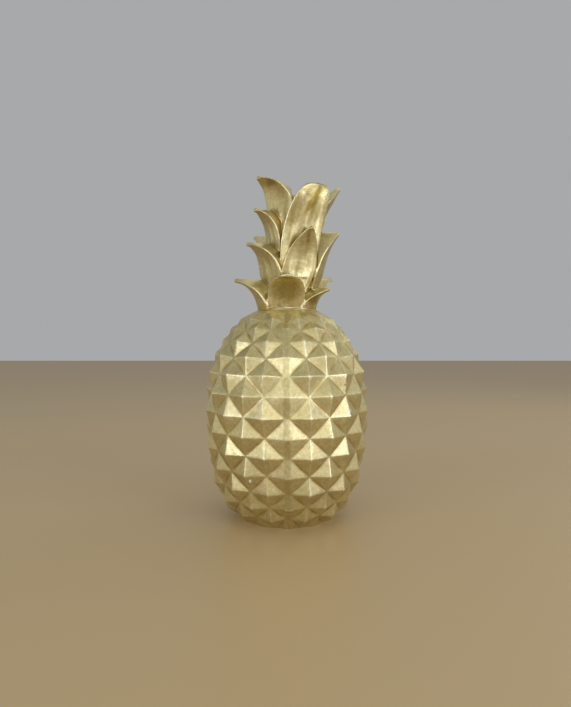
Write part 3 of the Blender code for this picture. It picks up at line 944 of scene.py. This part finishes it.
# Middle as x, y, z and half sizes, all in millimetres; tilt in degrees; strength
# Painted highlights: on the lip of the collar and on the rim of the front leaf
PAINTED_HIGHLIGHTS = (
    (4, -29, 212.0, 25, 7, 1.8, 0, 0.60),
    (2, -42, 243.0, 11, 6, 1.6, 0, 0.50),
)
SCUFFS = (
    (-33.9, -67.5, 51.6, 1.1, 5, 2.0, 0, 0.9),
    (-50.5, -49.4, 36.3, 0.9, 5, 1.8, 0, 0.9),
    (59.5, -59.3, 115.7, 1.8, 6, 2.8, 20, 0.55),
)
PITS = (
    (54.5, -58.6, 139.8, 0.8, 4, 1.1, 0, 0.9),
)

# Pale gold on the ridges and rims, rubbed wear and painted highlight, then the painted highlights
# on the lip and the front leaf
rubbed_and_highlit = between(ragged(edge, specks, RUB_AND_HIGHLIGHT_RAGGED), *RUB_AND_HIGHLIGHT_RAMP)
tone = blend_colours(calculate("MAXIMUM", rubbed_and_highlit, marked(PAINTED_HIGHLIGHTS, dabs)), tone, RUBBED_AND_HIGHLIGHT_GOLD)
scuffed = marked(SCUFFS, specks)
pitted = marked(PITS, specks)
tone = blend_colours(scuffed, tone, CHALK)
tone = blend_colours(pitted, tone, PIT_DARK)
print("scuffs and pits:", len(SCUFFS) + len(PITS))

# %% [markdown]
# ## Metal, gloss and dabs
# Gold paint is fine metal in varnish, so the shader is metallic nearly all over, but not where
# a scuff or pit has taken the paint off. Its gloss is a little uneven, and smoother on the
# crown. The dabs stand up by a fraction of a millimetre. A bump node shows that well enough,
# and the skin needs no more faces for it.

# %% Finish the gold paint
METAL_RAMP = (0.0, 1.0, 0.92, 0.1)           # metallic, less where a scuff or pit lies
ROUGH_RAMP = (0.30, 0.75, 0.33, 0.52)        # roughness, more in the specks
CROWN_HEIGHTS = (0.205, 0.225, 0.0, 0.07)    # metres up, and how much smoother the crown is
BUMP_STRENGTH = 0.35
BUMP_DEPTH = 0.0003
SPECK_BUMP = 0.35

feed(shader.inputs["Base Color"], tone)
feed(shader.inputs["Metallic"], between(calculate("MAXIMUM", scuffed, pitted), *METAL_RAMP))
smoother = between(height, *CROWN_HEIGHTS)
feed(shader.inputs["Roughness"],
     calculate("SUBTRACT", between(specks, *ROUGH_RAMP), smoother))
bump = node("ShaderNodeBump")
feed(bump.inputs["Strength"], BUMP_STRENGTH)
feed(bump.inputs["Distance"], BUMP_DEPTH)
feed(bump.inputs["Height"], calculate("ADD", dabs, calculate("MULTIPLY", specks, SPECK_BUMP)))
feed(shader.inputs["Normal"], bump.outputs["Normal"])
pineapple.data.materials.clear()
pineapple.data.materials.append(gold)
print("paint nodes:", len(tree_nodes))

# %% [markdown]
# ## Handing the piece over
# The skin rides on the part's only body, replaces the plain solid, and takes the finish that
# the record calls antique gold.

# %% Attach the piece
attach(pineapple, "root")
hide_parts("pineapple")
print("handed over:", pineapple.name)

# %% [markdown]
# ## The floor
# The ornament stands on a plain surface. Gold shows what it reflects, so the floor is warm and
# slightly glossy, and tints the facets that face down. A plane is enough.

# %% Lay the floor
FLOOR_SIZE = 6
FLOOR_COLOUR = (0.515, 0.372, 0.176, 1)
FLOOR_ROUGHNESS = 0.43

start_clean()
bpy.ops.mesh.primitive_plane_add(size=FLOOR_SIZE, location=(0, 0, 0))
floor = bpy.context.object
floor.name = "floor"
floor_paint = bpy.data.materials.new("floor")
floor_paint.use_nodes = True
floor_shader = floor_paint.node_tree.nodes["Principled BSDF"]
floor_shader.inputs["Base Color"].default_value = FLOOR_COLOUR
floor_shader.inputs["Roughness"].default_value = FLOOR_ROUGHNESS
floor.data.materials.append(floor_paint)
print("floor:", FLOOR_SIZE, "metres wide")

# %% [markdown]
# ## The light
# The lights matter as much as the paint, because every facet mirrors one direction. Three soft
# lamps stand in front like windows and light up the facets that face them. Weaker ones fill in
# the sides, the back and the top, and an even grey sky lights the rest. One helper aims each
# lamp at the ornament, so a lamp is placed by its direction alone.

# %% Place the lamps
LAMP_AIM = (0, 0, 0.15)
SKY_COLOUR = (0.80, 0.81, 0.82, 1)
SKY_STRENGTH = 0.49
WHITE = (1, 1, 1)
DAYLIGHT = (0.95, 1.03, 1.40)    # the lamps that stand for windows are a little cool

# Name; azimuth and elevation in degrees; distance, width, height; radiance; colour
LAMPS = (
    ("left window", -51, 7, 2.4, 0.90, 1.15, 3.9, DAYLIGHT),
    ("right window", 53, 7.5, 2.4, 1.35, 1.20, 3.7, DAYLIGHT),
    ("front window", 3, 8, 2.4, 0.64, 0.90, 2.1, DAYLIGHT),
    ("front fill", 4, 20, 1.3, 1.9, 0.7, 0.88, WHITE),
    ("left fill", -98, 3, 1.3, 0.9, 0.42, 0.42, WHITE),
    ("right fill", 100, 10, 1.3, 0.7, 0.6, 0.40, WHITE),
    ("right back light", 124, 32, 1.3, 0.6, 0.6, 0.90, WHITE),
    ("back light", 172, 50, 1.2, 0.6, 0.4, 0.6, WHITE),
    ("top light", 90, 84, 1.5, 1.8, 1.8, 0.26, WHITE),
)


def soft_lamp(name, azimuth, elevation, distance, width, height, radiance, colour):
    """A rectangular lamp that faces the middle of the ornament."""
    light = bpy.data.lights.new(name, "AREA")
    light.color = colour
    light.shape = "RECTANGLE"
    light.size = width
    light.size_y = height
    light.energy = radiance * math.pi * width * height
    turn, rise = math.radians(azimuth), math.radians(elevation)
    away = on_circle(turn, distance * math.cos(rise), distance * math.sin(rise))
    lamp = bpy.data.objects.new(name, light)
    lamp.location = Vector(LAMP_AIM) + away
    lamp.rotation_euler = (math.pi / 2 - rise, 0, turn)
    bpy.context.scene.collection.objects.link(lamp)


for measures in LAMPS:
    soft_lamp(*measures)
sky = bpy.data.worlds.new("studio")
sky.use_nodes = True
sky_light = sky.node_tree.nodes["Background"]
sky_light.inputs["Color"].default_value = SKY_COLOUR
sky_light.inputs["Strength"].default_value = SKY_STRENGTH
bpy.context.scene.world = sky
bpy.context.scene.view_settings.view_transform = "Standard"
print("lamps:", len(LAMPS))
